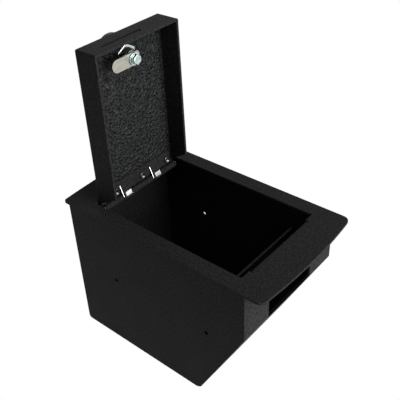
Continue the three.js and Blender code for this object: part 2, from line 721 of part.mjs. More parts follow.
function camScrew() {
  const head = hexagon(SCREW_ACROSS_FLATS, SCREW_SEAT - SCREW_HEAD_HEIGHT, SCREW_SEAT, EDGE_ROUNDING);
  const shank = standing(roundBar(SCREW_RADIUS, SCREW_SEAT - 1, SCREW_SEAT + SCREW_LENGTH, 20));
  return geometryOf(solid(head).add(solid(shank)));
}

addPiece(lockPlug, 'key_plug', keyPlug(), bareSteel);
addPiece(lockPlug, 'stop_washer', stopWasher(), zinc);
addPiece(lockPlug, 'cam', camPlate(), camSteel);
addPiece(lockPlug, 'cam_washer', camWasher(), zinc);
addPiece(lockPlug, 'cam_screw', camScrew(), zinc);

lockPlug.position.set(LOCK_X, 0, 0);
lid.add(lockPlug);
lid.position.set(HINGE_X, 0, HINGE_Z);
lid.rotation.y = -THREE.MathUtils.degToRad(OPEN_ANGLE);
safe.add(lid);

export default safe;
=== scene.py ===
# %% [markdown]
# # A console safe with its lid open
# The real object is a strongbox of folded and welded sheet steel, painted black. A wide flange lets
# it hang in a car's console. The lid is a shallow pan on a hinge, with a cam lock through it.
#
# The solid model is loaded first and stays where it is. Its parts are plain solids that move in a
# simulation. Here each of them gets a detailed piece in its place.

# %% Load the solid model
import bpy
import json
from math import acos, atan2, cos, degrees, hypot, pi, radians, sin, sqrt, tan
from mathutils import Matrix, Vector


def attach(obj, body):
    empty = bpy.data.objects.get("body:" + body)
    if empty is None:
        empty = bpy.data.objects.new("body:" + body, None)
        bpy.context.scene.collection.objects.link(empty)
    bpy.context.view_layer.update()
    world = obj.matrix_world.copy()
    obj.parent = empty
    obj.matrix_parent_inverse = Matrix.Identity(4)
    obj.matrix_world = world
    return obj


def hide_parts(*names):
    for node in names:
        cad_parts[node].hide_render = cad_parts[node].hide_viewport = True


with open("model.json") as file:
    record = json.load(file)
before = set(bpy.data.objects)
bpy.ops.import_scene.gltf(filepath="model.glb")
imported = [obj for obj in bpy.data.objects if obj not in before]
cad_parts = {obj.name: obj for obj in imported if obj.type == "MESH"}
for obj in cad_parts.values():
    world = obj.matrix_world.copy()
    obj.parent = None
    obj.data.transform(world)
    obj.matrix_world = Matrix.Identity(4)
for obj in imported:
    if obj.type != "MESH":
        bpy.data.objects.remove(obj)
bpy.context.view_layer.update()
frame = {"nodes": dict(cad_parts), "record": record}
nodes = frame["nodes"]

# %% [markdown]
# ## The camera
# The photograph's straight edges gave the place and the lens. The camera's own axes are written
# down as three directions, because a matrix of them has no rounding from angles. The picture is
# square, so the lens in millimetres is the focal length in pixels over the picture's width.

# %% Place the camera
PICTURE_WIDTH = 400
FOCAL_PIXELS = 663.31
SENSOR_MM = 36
CAMERA_PLACE = Vector((0.37298, -0.43418, 0.604))
TO_THE_RIGHT = Vector((0.77043, 0.63659, -0.03458))
DOWNWARDS = Vector((0.35140, -0.46929, -0.81012))
FORWARDS = Vector((-0.53194, 0.61199, -0.58525))

scene = bpy.context.scene
scene.view_settings.view_transform = "Standard"
camera = bpy.data.objects.new("camera", bpy.data.cameras.new("camera"))
scene.collection.objects.link(camera)
turn = Matrix((TO_THE_RIGHT, -DOWNWARDS, -FORWARDS)).transposed()
camera.matrix_world = Matrix.Translation(CAMERA_PLACE) @ turn.to_4x4()
camera.data.sensor_width = SENSOR_MM
camera.data.lens = SENSOR_MM * FOCAL_PIXELS / PICTURE_WIDTH
scene.camera = camera
print("lens:", round(camera.data.lens, 2), "mm")

# %% [markdown]
# ## Finishes
# Paint, zinc and steel are all one shader with different numbers, so one small function adds a
# node, sets what it is told and joins what it is given. A second one turns a colour as it looks on
# a screen into the linear values that light is worked out with.

# %% Helpers for materials
MM = 0.001


def screen_colour(code):
    """An sRGB hex colour as linear red, green, blue and alpha."""
    parts = [int(code[i:i + 2], 16) / 255 for i in (0, 2, 4)]
    return (*[c / 12.92 if c <= 0.04045 else ((c + 0.055) / 1.055) ** 2.4 for c in parts], 1.0)


def add_node(tree, kind, sockets=None, **settings):
    """Adds a node with its settings. A socket's value may be another node's output."""
    made = tree.nodes.new(kind)
    for name, value in settings.items():
        setattr(made, name, value)
    for name, value in (sockets or {}).items():
        if isinstance(value, bpy.types.NodeSocket):
            tree.links.new(value, made.inputs[name])
        else:
            made.inputs[name].default_value = value
    return made


def new_finish(name, **shader):
    """An empty material with the plain numbers set on its shader."""
    material = bpy.data.materials.new(name)
    material.use_nodes = True
    surface = material.node_tree.nodes["Principled BSDF"]
    for socket, value in shader.items():
        surface.inputs[socket.replace("_", " ")].default_value = value
    return material, material.node_tree, surface


print("white on a screen:", screen_colour("ffffff"))

# %% [markdown]
# ### Black powder coat on the box
# The powder melts into a fine orange peel. Its grain is about half a millimetre, which is finer
# than the picture can show, so it is drawn at 2.2 mm. Its tone follows the relief: the hollows
# are darker, which is painted shade. A slower noise of 3 cm makes the gloss uneven, as handling does.
# The coat is nearly matt: its specular level is far below that of bare plastic.

# %% Powder coat
COAT_GRAIN = 2.2
COAT_PATCH = 30
COAT_SHINE = 0.025
NOISE_LOW = 0.3
NOISE_HIGH = 0.7

powder_coat, tree, surface = new_finish(
    "satin_black_powder_coat", IOR=1.5, Specular_IOR_Level=COAT_SHINE,
)
place = add_node(tree, "ShaderNodeTexCoord").outputs["Object"]
grain = add_node(tree, "ShaderNodeTexNoise", {
    "Vector": place, "Scale": 1000 / COAT_GRAIN, "Detail": 2.0,
})
patch = add_node(tree, "ShaderNodeTexNoise", {
    "Vector": place, "Scale": 1000 / COAT_PATCH, "Detail": 3.0,
})
# Painted shade: the tone is darker where the grain is low, in its hollows.
painted_grain_shade = add_node(tree, "ShaderNodeMapRange", {
    "Value": grain.outputs["Fac"], "From Min": NOISE_LOW, "From Max": NOISE_HIGH,
})
tone = add_node(tree, "ShaderNodeMix", {
    "Factor": painted_grain_shade.outputs["Result"], "A": screen_colour("1c1c1d"), "B": screen_colour("333334"),
}, data_type="RGBA")
gloss = add_node(tree, "ShaderNodeMapRange", {
    "Value": patch.outputs["Fac"], "To Min": 0.46, "To Max": 0.6,
})
relief = add_node(tree, "ShaderNodeBump", {
    "Height": grain.outputs["Fac"], "Strength": 0.6, "Distance": 0.5 * MM,
})
tree.links.new(tone.outputs["Result"], surface.inputs["Base Color"])
tree.links.new(gloss.outputs["Result"], surface.inputs["Roughness"])
tree.links.new(relief.outputs["Normal"], surface.inputs["Normal"])
print("made", powder_coat.name)

# %% [markdown]
# ### Hammered coat on the lid
# Inside, the lid shows a coarser coat than the box: shallow cells with shiny rims, 2 to 4 mm
# across, that throw small glints. A Voronoi pattern gives the cells, and a noise moves their
# borders so that they don't look cut with a knife. A second noise, nearly as coarse as the cells,
# breaks up their relief, and the tone follows it: its hollows are darker, which is painted shade.

# %% Hammered coat
CELL = 3.2
WANDER = 1.6
FINE = 2.8
FINE_SHARE = 0.35

hammered_coat, tree, surface = new_finish(
    "hammered_black_powder_coat", Roughness=0.34, IOR=1.5, Specular_IOR_Level=0.12,
)
place = add_node(tree, "ShaderNodeTexCoord").outputs["Object"]
shift = add_node(tree, "ShaderNodeTexNoise", {
    "Vector": place, "Scale": 1000 / (2 * CELL), "Detail": 2.0,
})
apart = add_node(tree, "ShaderNodeVectorMath", {
    0: shift.outputs["Color"], 1: (WANDER * MM,) * 3, 2: place,
}, operation="MULTIPLY_ADD")
cells = add_node(tree, "ShaderNodeTexVoronoi", {
    "Vector": apart.outputs["Vector"], "Scale": 1000 / CELL, "Smoothness": 0.6,
}, feature="SMOOTH_F1")
fine = add_node(tree, "ShaderNodeTexNoise", {"Vector": place, "Scale": 1000 / FINE, "Detail": 2.0})
height = add_node(tree, "ShaderNodeMath", {
    0: fine.outputs["Fac"], 1: FINE_SHARE, 2: cells.outputs["Distance"],
}, operation="MULTIPLY_ADD")
relief = add_node(tree, "ShaderNodeBump", {
    "Height": height.outputs["Value"], "Strength": 1.0, "Distance": 4.0 * MM,
})
# Painted shade: the tone is darker where the second noise sinks the relief.
painted_hollow_shade = add_node(tree, "ShaderNodeMapRange", {
    "Value": fine.outputs["Fac"], "From Min": NOISE_LOW, "From Max": NOISE_HIGH,
})
tone = add_node(tree, "ShaderNodeMix", {
    "Factor": painted_hollow_shade.outputs["Result"], "A": screen_colour("0e0e0f"), "B": screen_colour("353637"),
}, data_type="RGBA")
tree.links.new(tone.outputs["Result"], surface.inputs["Base Color"])
tree.links.new(relief.outputs["Normal"], surface.inputs["Normal"])
print("made", hammered_coat.name)

# %% [markdown]
# ### Bare steel, zinc and nickel
# A metal has no colour of its own under its reflection: the base colour is the reflection. Drawn
# steel is grey with fine lines along the draw, plating is brighter, zinc has a blue-green cast
# from its clear chromate, and the cam's older plating has gone warm. One function makes them,
# because only the numbers differ: colour, roughness, and the size and depth of the surface's noise.

# %% Metals
def plated(name, dark, bright, rough, grain_mm, depth_mm, stretch=(1, 1, 1)):
    """A metal whose tone and gloss vary over a noise, which can be stretched into lines."""
    material, tree, surface = new_finish(name, Metallic=1.0)
    place = add_node(tree, "ShaderNodeTexCoord").outputs["Object"]
    turned = add_node(tree, "ShaderNodeMapping", {"Vector": place, "Scale": stretch})
    grain = add_node(tree, "ShaderNodeTexNoise", {
        "Vector": turned.outputs["Vector"], "Scale": 1000 / grain_mm, "Detail": 3.0,
    })
    tone = add_node(tree, "ShaderNodeMix", {
        "Factor": grain.outputs["Fac"], "A": screen_colour(dark), "B": screen_colour(bright),
    }, data_type="RGBA")
    gloss = add_node(tree, "ShaderNodeMapRange", {
        "Value": grain.outputs["Fac"], "To Min": rough - 0.06, "To Max": rough + 0.08,
    })
    relief = add_node(tree, "ShaderNodeBump", {
        "Height": grain.outputs["Fac"], "Strength": 0.4, "Distance": depth_mm * MM,
    })
    tree.links.new(tone.outputs["Result"], surface.inputs["Base Color"])
    tree.links.new(gloss.outputs["Result"], surface.inputs["Roughness"])
    tree.links.new(relief.outputs["Normal"], surface.inputs["Normal"])
    print("made", name)
    return material


drawn_steel = plated("bare_drawn_steel", "a9aaa8", "d9dad8", 0.34, 1.2, 0.05, (1, 0.08, 1))
blue_zinc = plated("blue_bright_zinc", "9fb0ad", "cfdcd9", 0.26, 2.5, 0.05)
warm_plate = plated("warm_plated_steel", "929088", "a9a69c", 0.38, 3.0, 0.04, (1, 0.3, 1))
satin_nickel = plated("satin_nickel", "b4b2ac", "cbc9c2", 0.3, 1.5, 0.03)

# %% [markdown]
# ### Black lacquer, rubbed paint and painted shade
# The lock's head is a zinc casting under a thin satin lacquer, smoother than the powder coat. The
# rivets' domes are polished by what rubs past them, so they are the glossiest black on the object.
# The guard plate deep in the box and the cut under the notch get a matt near black, which is
# painted shade that makes them look like a dark hole. All three are smooth, so one function makes
# them, with clouds of 4 mm in their tone and gloss.

# %% Lacquer, rubbed paint and painted shade
CLOUD = 4


def smooth_black(name, dark, bright, rough, shine):
    """A smooth black coat whose tone and gloss vary in clouds."""
    material, tree, surface = new_finish(name, IOR=1.5, Specular_IOR_Level=shine)
    place = add_node(tree, "ShaderNodeTexCoord").outputs["Object"]
    cloud = add_node(tree, "ShaderNodeTexNoise", {
        "Vector": place, "Scale": 1000 / CLOUD, "Detail": 4.0,
    })
    tone = add_node(tree, "ShaderNodeMix", {
        "Factor": cloud.outputs["Fac"], "A": screen_colour(dark), "B": screen_colour(bright),
    }, data_type="RGBA")
    gloss = add_node(tree, "ShaderNodeMapRange", {
        "Value": cloud.outputs["Fac"], "To Min": rough - 0.05, "To Max": rough + 0.08,
    })
    relief = add_node(tree, "ShaderNodeBump", {
        "Height": cloud.outputs["Fac"], "Strength": 0.2, "Distance": 0.1 * MM,
    })
    tree.links.new(tone.outputs["Result"], surface.inputs["Base Color"])
    tree.links.new(gloss.outputs["Result"], surface.inputs["Roughness"])
    tree.links.new(relief.outputs["Normal"], surface.inputs["Normal"])
    print("made", name)
    return material


lock_lacquer = smooth_black("satin_black_lacquer", "141415", "1f1f20", 0.36, 0.2)
rubbed_paint = smooth_black("rubbed_black_paint", "1c1c1d", "2a2a2b", 0.2, 1.0)
# Painted shade: a matt near black that stands in for the shade deep behind the notch.
painted_shade_black = smooth_black("painted_shade_matt_black", "020202", "050505", 0.8, 0.01)

# %% [markdown]
# ## Helpers for modelling
# The pieces are made as a sheet metal worker makes them: a flat skin is cut to its outline, folded
# at its edges, and then given its thickness. An operator acts on all that is selected, so each
# piece starts with nothing selected. All the places that the helpers take are in millimetres.

# %% Start a piece
def select_only(*pieces):
    """Leaves edit mode and selects just these pieces, the first of them as the active one."""
    if bpy.context.object and bpy.context.object.mode == "EDIT":
        bpy.ops.object.mode_set(mode="OBJECT")
    bpy.ops.object.select_all(action="DESELECT")
    for piece in pieces:
        piece.select_set(True)
    if pieces:
        bpy.context.view_layer.objects.active = pieces[0]


def begin(name):
    """Names the new primitive, puts its size and place into its mesh and opens it for editing."""
    piece = bpy.context.object
    piece.name = name
    bpy.ops.object.transform_apply(location=True, rotation=True, scale=True)
    bpy.ops.object.mode_set(mode="EDIT")
    return piece


def flat_skin(name, x, y, z):
    """A flat sheet from x[0] to x[1] and y[0] to y[1] at height z."""
    select_only()
    middle = ((x[0] + x[1]) / 2 * MM, (y[0] + y[1]) / 2 * MM, z * MM)
    bpy.ops.mesh.primitive_plane_add(size=1, location=middle)
    bpy.context.object.scale = ((x[1] - x[0]) * MM, (y[1] - y[0]) * MM, 1)
    return begin(name)


print("one millimetre in the scene's metres:", MM)

# %% [markdown]
# Faces and edges are picked by where they lie, because a number in a list changes with every cut.
# A test gets a face's centre and normal, or an edge's two ends. A cut is a bisect with a plane,
# which scores the mesh and can also drop the part on one side.

# %% Pick, cut and pull
NEAR = 0.01


def pick(kind, test):
    """Selects just the FACEs (centre, normal) or EDGEs (one end, other end) that pass the test."""
    mesh = bpy.context.object.data
    bpy.ops.mesh.select_mode(type=kind)
    bpy.ops.mesh.select_all(action="DESELECT")
    bpy.ops.object.mode_set(mode="OBJECT")
    if kind == "FACE":
        for face in mesh.polygons:
            face.select = bool(test(face.center / MM, face.normal))
        count = sum(face.select for face in mesh.polygons)
    else:
        ends = [point.co / MM for point in mesh.vertices]
        for edge in mesh.edges:
            edge.select = bool(test(ends[edge.vertices[0]], ends[edge.vertices[1]]))
        count = sum(edge.select for edge in mesh.edges)
    bpy.ops.object.mode_set(mode="EDIT")
    return count


def edges_at(axis, value):
    """A test for the edges whose two ends lie at one value of x, y or z."""
    return lambda a, b: all(abs(getattr(end, axis) - value) < NEAR for end in (a, b))


def end_face(x, y, side):
    """A test for the flat end of an upright bar: its top where side is 1, its foot where it is -1."""
    return lambda c, n: side * n.z > 0.99 and hypot(c.x - x, c.y - y) < 1


def score(place, normal, drop_outer=False, fill=False):
    """Cuts the whole mesh along a plane. It can drop the part that the normal points to."""
    bpy.ops.mesh.select_all(action="SELECT")
    bpy.ops.mesh.bisect(
        plane_co=[c * MM for c in place], plane_no=Vector(normal).normalized(),
        use_fill=fill, clear_outer=drop_outer, threshold=1e-7,
    )


def pull(x=0, y=0, z=0):
    """Extrudes what is selected by a distance."""
    bpy.ops.mesh.extrude_region_move(TRANSFORM_OT_translate={"value": (x * MM, y * MM, z * MM)})


def round_off(radius, segments):
    """Bevels the selected edges to a radius."""
    bpy.ops.mesh.bevel(offset=radius * MM, segments=segments, affect="EDGES", clamp_overlap=False)


print("places are matched within", NEAR, "mm")

# %% [markdown]
# A piece is finished the same way each time: a skin gets its thickness, sharp edges get a small
# bevel that catches the light, and the bends are shaded smooth. Then it gets the finish of its
# slot, rides on its body and stands for the solids that it replaces.

# %% Finish a piece
FINISHES = {
    "textured_coat": powder_coat,
    "lid_coat": hammered_coat,
    "lock_black": lock_lacquer,
    "bare_steel": drawn_steel,
    "zinc": blue_zinc,
    "cam_steel": warm_plate,
    "nickel": satin_nickel,
}
SHARP = 50
SMOOTH = 30


def add_thickness(piece, thickness):
    """Adds the modifier that thickens a skin on the side that its normals point away from."""
    wall = piece.modifiers.new("thickness", "SOLIDIFY")
    wall.thickness = thickness * MM
    wall.offset = -1
    wall.use_even_offset = True


def apply_all(piece):
    """Applies the modifiers in their order."""
    for name in [modifier.name for modifier in piece.modifiers]:
        bpy.ops.object.modifier_apply(modifier=name)


def close_up(piece, rounding=0.0, segments=2, thickness=0.0):
    """Leaves edit mode, gives a skin its thickness, rounds sharp edges and smooths the bends."""
    select_only(piece)
    if thickness:
        add_thickness(piece, thickness)
    if rounding:
        edge = piece.modifiers.new("edges", "BEVEL")
        edge.width = rounding * MM
        edge.segments = segments
        edge.limit_method = "ANGLE"
        edge.angle_limit = radians(SHARP)
        edge.use_clamp_overlap = True
    apply_all(piece)
    bpy.ops.object.shade_smooth_by_angle(angle=radians(SMOOTH))
    level = piece.modifiers.new("level", "WEIGHTED_NORMAL")
    level.keep_sharp = True
    apply_all(piece)


def settle(piece, body, *replaced):
    """Gives a finished piece its finish and its body, and lets it stand for its solids."""
    slots = {part["node"]: part["material_slot"] for part in frame["record"]["subparts"]}
    slot = slots[replaced[0]]
    if not piece.data.materials:
        piece.data.materials.append(FINISHES[slot])
    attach(piece, body)
    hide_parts(*replaced)
    corners = [piece.matrix_world @ Vector(c) / MM for c in piece.bound_box]
    size = [round(max(c[i] for c in corners) - min(c[i] for c in corners), 1) for i in range(3)]
    print(piece.name, "faces:", len(piece.data.polygons), "size in mm:", size)


print("finishes:", ", ".join(FINISHES))

# %% [markdown]
# ## The flange
# It is a plate of 12 gauge steel, about 275 by 160 mm. Both short ends bow outwards, the front one
# more. An arc can be had from a circle and a boolean, but a plane that is trimmed along the arc's
# tangents leaves a clean flat face with no spare points, so each end is trimmed by short cuts.

# %% Outline of the flange
PLATE = 2.7
TOP = 178.0
FLANGE_FRONT = 137
FLANGE_BACK = -138
FLANGE_HALF = 80
FRONT_BOW = 4.6
FRONT_CORNER = 8
BACK_BOW = 2.7
BACK_CORNER = 4
BOW_CUTS = 13
CORNER_CUTS = 7


def trim_arc(centre, radius, start, end, cuts):
    """Trims the sheet along tangents to an arc seen from above, from one angle to another."""
    for i in range(cuts):
        angle = start + (end - start) * i / (cuts - 1)
        outwards = (cos(angle), sin(angle), 0)
        place = (centre[0] + radius * outwards[0], centre[1] + radius * outwards[1], 0)
        score(place, outwards, drop_outer=True)


def trim_end(side, reach, bow, corner):
    """Bows one end of the flange at a distance from the middle and rounds its two corners."""
    radius = (FLANGE_HALF ** 2 + bow ** 2) / (2 * bow)
    centre = reach - radius
    corner_y = FLANGE_HALF - corner
    corner_x = centre + sqrt((radius - corner) ** 2 - corner_y ** 2)
    spread = atan2(corner_y, corner_x - centre)
    middle = 0 if side > 0 else pi
    trim_arc((side * centre, 0), radius, middle - spread, middle + spread, BOW_CUTS)
    for across in (-1, 1):
        start = middle + side * across * spread
        square = across * pi / 2 if side > 0 else pi - across * pi / 2
        trim_arc((side * corner_x, across * corner_y), corner, start, square, CORNER_CUTS)


flange = flat_skin("flange", (FLANGE_BACK, -FLANGE_BACK), (-FLANGE_HALF, FLANGE_HALF), TOP)
trim_end(1, FLANGE_FRONT, FRONT_BOW, FRONT_CORNER)
trim_end(-1, -FLANGE_BACK, BACK_BOW, BACK_CORNER)
flange.update_from_editmode()
print("points in the outline:", len(flange.data.vertices))

# %% [markdown]
# The opening is scored across the sheet and its faces are dropped. At both ends a lip is folded
# down: the front one is the strike that the cam hooks under. A fold needs a short slit at each
# end, or the corner of the sheet would tear. After that the skin gets the plate's thickness.

# %% Opening and lips
OPENING_FRONT = 97.0
OPENING_HINGE = -102.1
OPENING_HALF = 62.1
STRIKE_HALF = 48.5
STRIKE_BEND = 4.4
STRIKE_FOOT = 163.5
HINGE_LIP_HALF = 58
HINGE_LIP_BEND = 3
HINGE_LIP_FOOT = 169.7
SLIT = 1
SLIT_SPARE = 0.3

slit_front = OPENING_FRONT + STRIKE_BEND + SLIT_SPARE
slit_back = OPENING_HINGE - HINGE_LIP_BEND - SLIT_SPARE
for x in (slit_back, OPENING_HINGE, OPENING_FRONT, slit_front):
    score((x, 0, 0), (1, 0, 0))
for y in (OPENING_HALF, STRIKE_HALF, STRIKE_HALF + SLIT, HINGE_LIP_HALF, HINGE_LIP_HALF + SLIT):
    for side in (-1, 1):
        score((0, side * y, 0), (0, 1, 0))


def is_cut_out(centre, normal):
    """Whether a face of the flange lies in the opening or in one of the four slits."""
    x, y = centre.x, abs(centre.y)
    opening = OPENING_HINGE < x < OPENING_FRONT and y < OPENING_HALF
    front_slit = OPENING_FRONT < x < slit_front and STRIKE_HALF < y < STRIKE_HALF + SLIT
    back_slit = slit_back < x < OPENING_HINGE and HINGE_LIP_HALF < y < HINGE_LIP_HALF + SLIT
    return opening or front_slit or back_slit


dropped = pick("FACE", is_cut_out)
bpy.ops.mesh.delete(type="FACE")


def lip_edge(x, half):
    """A test for the edges at one x that lie between two ends in y."""
    return lambda a, b: edges_at("x", x)(a, b) and max(abs(a.y), abs(b.y)) < half + NEAR


for x, half, foot, bend in (
    (OPENING_FRONT, STRIKE_HALF, STRIKE_FOOT, STRIKE_BEND),
    (OPENING_HINGE, HINGE_LIP_HALF, HINGE_LIP_FOOT, HINGE_LIP_BEND),
):
    pick("EDGE", lip_edge(x, half))
    pull(z=foot - TOP)
    pick("EDGE", lambda a, b: lip_edge(x, half)(a, b) and edges_at("z", TOP)(a, b))
    round_off(bend, 6)
close_up(flange, rounding=0.55, segments=3, thickness=PLATE)
settle(flange, "box", "flange_plate")
print("faces dropped for the opening and slits:", dropped)

# %% [markdown]
# ## The box below the flange
# One sheet is folded into hinge wall, floor, slope and front wall, and two flat plates close its
# sides. The real sheet is bent over a die, so every fold has a radius. It is made from its floor:
# the two free edges are extruded into walls and the folds are rounded before the sheet gets thick.
# Plates that touch on the real box stand 0.1 mm apart here. The front wall's notch is scored and
# dropped, and its lower cut is painted matt near black: painted shade, as dark as the shade behind it.

# %% Folded sheet with its notch
HINGE_WALL = -127.7
FRONT_WALL = 113.2
FRONT_FOOT = 117.3
FLOOR_FRONT = 52.1
BOX_HALF = 79.2
AIR = 0.1
WALL_TOP = TOP - PLATE - AIR
SHEET_HALF = BOX_HALF - PLATE - AIR
SLOPE_TURN = degrees(atan2(FRONT_FOOT, FRONT_WALL - FLOOR_FRONT))
WALL_FOLD = 4
FLOOR_FOLD = 10
NOTCH_HALF = 38
NOTCH_HIGH = 147.3
NOTCH_LOW = 107
NOTCH_BACK = 90
CUT_LOW = NOTCH_LOW - 7
CUT_HIGH = NOTCH_LOW + 1


def along_y(x, z):
    """A test for the edges that run along Y through one place, as the folds do."""
    return lambda a, b: all(hypot(p.x - x, p.z - z) < NEAR for p in (a, b)) and abs(a.y - b.y) > NEAR


def fold(x, z, radius, turn=90, segments=6):
    """Rounds the fold along Y at a place. Turn is the angle by which the sheet is bent."""
    pick("EDGE", along_y(x, z))
    round_off(radius * tan(radians(turn / 2)), segments)


def fold_box():
    """Rounds the three folds that the sheet and the side plates share."""
    fold(HINGE_WALL, 0, WALL_FOLD)
    fold(FLOOR_FRONT, 0, FLOOR_FOLD, SLOPE_TURN)
    fold(FRONT_WALL, FRONT_FOOT, WALL_FOLD, 90 - SLOPE_TURN)


def paint(piece, finish, test):
    """Puts one more finish on the faces (centre, normal) that pass the test."""
    piece.data.materials.append(finish)
    for face in piece.data.polygons:
        if test(face.center / MM, face.normal):
            face.material_index = len(piece.data.materials) - 1


def is_notch(centre, normal):
    """Whether a face of the sheet lies in the notch."""
    return centre.x > NOTCH_BACK and abs(centre.y) < NOTCH_HALF and NOTCH_LOW < centre.z < NOTCH_HIGH


def is_painted_shade_cut(centre, normal):
    """Whether a face is part of the cut under the notch, which looks upwards and gets painted shade."""
    middle = centre.x > NOTCH_BACK and abs(centre.y) < NOTCH_HALF - 1
    return middle and CUT_LOW < centre.z < CUT_HIGH and normal.z > 0.2


body = flat_skin("body_sheet", (HINGE_WALL, FLOOR_FRONT), (-SHEET_HALF, SHEET_HALF), 0)
bpy.ops.mesh.flip_normals()
pick("EDGE", along_y(HINGE_WALL, 0))
pull(z=WALL_TOP)
pick("EDGE", along_y(FLOOR_FRONT, 0))
pull(x=FRONT_WALL - FLOOR_FRONT, z=FRONT_FOOT)
pull(z=WALL_TOP - FRONT_FOOT)
fold_box()
for z in (NOTCH_LOW, NOTCH_HIGH):
    score((0, 0, z), (0, 0, 1))
for y in (-NOTCH_HALF, NOTCH_HALF):
    score((0, y, 0), (0, 1, 0))
pick("FACE", is_notch)
bpy.ops.mesh.delete(type="FACE")
close_up(body, rounding=0.4, thickness=PLATE)
body.data.materials.append(powder_coat)
# Painted shade: the notch's lower cut is painted near black.
paint(body, painted_shade_black, is_painted_shade_cut)
settle(body, "box", "body_wrap_sheet")

# %% [markdown]
# ## Blocks and bars
# What has no folds starts as a block or a round bar. A hole is cut by a bar and a boolean, because
# the cut then follows the bar's facets and needs no points of its own. The cutter is thrown away.
# A piece that the object has twice is made once and copied.

# %% Blocks, bars and cuts
SPARE = 5


def slab(name, x, y, z):
    """A rectangular block between pairs of limits."""
    select_only()
    middle = [(low + high) / 2 * MM for low, high in (x, y, z)]
    bpy.ops.mesh.primitive_cube_add(size=1, location=middle)
    bpy.context.object.scale = [(high - low) * MM for low, high in (x, y, z)]
    return begin(name)


def round_bar(name, radius, low, high, centre=(0, 0), facets=48, axis="Z"):
    """A cylinder from low to high along an axis. Centre gives its other two coordinates."""
    select_only()
    middle = (low + high) / 2
    place = {"Z": (centre[0], centre[1], middle), "Y": (centre[0], middle, centre[1])}[axis]
    bpy.ops.mesh.primitive_cylinder_add(
        vertices=facets, radius=radius * MM, depth=(high - low) * MM,
        location=[c * MM for c in place], rotation=(pi / 2 if axis == "Y" else 0, 0, 0),
    )
    return begin(name)


def carve(piece, cutter):
    """Cuts one closed shape out of another and throws the cutter away."""
    select_only(piece)
    hole = piece.modifiers.new("hole", "BOOLEAN")
    hole.object = cutter
    hole.operation = "DIFFERENCE"
    hole.solver = "EXACT"
    bpy.ops.object.modifier_apply(modifier=hole.name)
    bpy.data.objects.remove(cutter)


def twin(piece, name, y):
    """A copy with a mesh of its own, moved along Y."""
    select_only(piece)
    bpy.ops.object.duplicate(linked=False)
    copy = bpy.context.object
    copy.name = name
    copy.location.y += y * MM
    bpy.ops.object.transform_apply(location=True, rotation=False, scale=False)
    return copy


print("cutters reach", SPARE, "mm past what they cut")

# %% [markdown]
# The side plates are cut by laser: flat, with their corners rounded like the folds, and with two
# 5 mm holes. A block is trimmed along the slope and its corners are bevelled by the same function as
# the sheet's folds, so that both outlines agree. The near one's copy is moved to the far side.

# %% Side plates
SIDE_HOLE = 5
SIDE_HOLE_X = 65
SIDE_HOLE_Z = 97

near_side = slab("near_side", (HINGE_WALL, FRONT_WALL), (-BOX_HALF, PLATE - BOX_HALF), (0, WALL_TOP))
slope_normal = (FRONT_FOOT, 0, FLOOR_FRONT - FRONT_WALL)
score((FLOOR_FRONT, 0, 0), slope_normal, drop_outer=True, fill=True)
fold_box()
for x in (-SIDE_HOLE_X, SIDE_HOLE_X):
    ends = (-BOX_HALF - SPARE, -BOX_HALF + SPARE)
    carve(near_side, round_bar("drill", SIDE_HOLE / 2, *ends, (x, SIDE_HOLE_Z), 32, "Y"))
close_up(near_side, rounding=0.35)
far_side = twin(near_side, "far_side", 2 * BOX_HALF - PLATE)
settle(near_side, "box", "near_side_plate")
settle(far_side, "box", "far_side_plate")

# %% [markdown]
# ## The guard plate behind the notch
# Behind the notch an upright plate keeps fingers and tools out of the safe. Its foot is bent
# forward to the slope, and two small plates close its ends. The closed lid's rim comes down on its
# top edge, which shows as one thin light line through the opening. That edge has the box's coat.
# The rest is matt near black, which is painted shade. It is a folded skin like the box, and its
# ends are blocks.

# %% Guard plate and its ends
GUARD_X = 72.5
GUARD_TOP = 150.3
GUARD_FOOT = 105.3
GUARD_HALF = 61
GUARD_FRONT = 109.4
GUARD_FOLD = 3.5
TOP_EDGE = 0.6
SLOPE_GAP = 0.3
SLOPE_LEAN = (FRONT_WALL - FLOOR_FRONT) / FRONT_FOOT
FOOT_END = FLOOR_FRONT + SLOPE_LEAN * GUARD_FOOT - PLATE * hypot(1, SLOPE_LEAN) - SLOPE_GAP

guard = flat_skin("guard_plate", (GUARD_X, FOOT_END), (-GUARD_HALF, GUARD_HALF), GUARD_FOOT)
bpy.ops.mesh.flip_normals()
pick("EDGE", along_y(GUARD_X, GUARD_FOOT))
pull(z=GUARD_TOP - GUARD_FOOT)
fold(GUARD_X, GUARD_FOOT, GUARD_FOLD)
close_up(guard, rounding=0.45, thickness=PLATE)
# Painted shade on the guard plate; only its top edge keeps the box's coat.
guard.data.materials.append(painted_shade_black)
paint(guard, powder_coat, lambda c, n: c.z > GUARD_TOP - TOP_EDGE)
settle(guard, "box", "stop_channel")

end_sides = (-GUARD_HALF - PLATE - AIR, -GUARD_HALF - AIR)
near_end = slab("guard_end_near", (GUARD_X, GUARD_FRONT), end_sides, (GUARD_FOOT, GUARD_TOP))
score((FOOT_END, 0, GUARD_FOOT), (1, 0, -SLOPE_LEAN), drop_outer=True, fill=True)
fold(GUARD_X, GUARD_FOOT, GUARD_FOLD)
close_up(near_end, rounding=0.4)
# Painted shade on the guard's ends as well.
near_end.data.materials.append(painted_shade_black)
far_end = twin(near_end, "guard_end_far", 2 * GUARD_HALF + PLATE + 2 * AIR)
settle(near_end, "box", "channel_end_near")
settle(far_end, "box", "channel_end_far")

# %% [markdown]
# ## The lid
# The lid is a shallow pan: a plate with three walls. It is modelled closed, with the hinge axis as
# its origin and +X towards the lock, because there its faces lie square. A block with rounded
# edges is hollowed by a second block, because the bends are too tight for a skin that gets thick.
# At the end the pan is turned up about the hinge, and that place goes into its mesh.

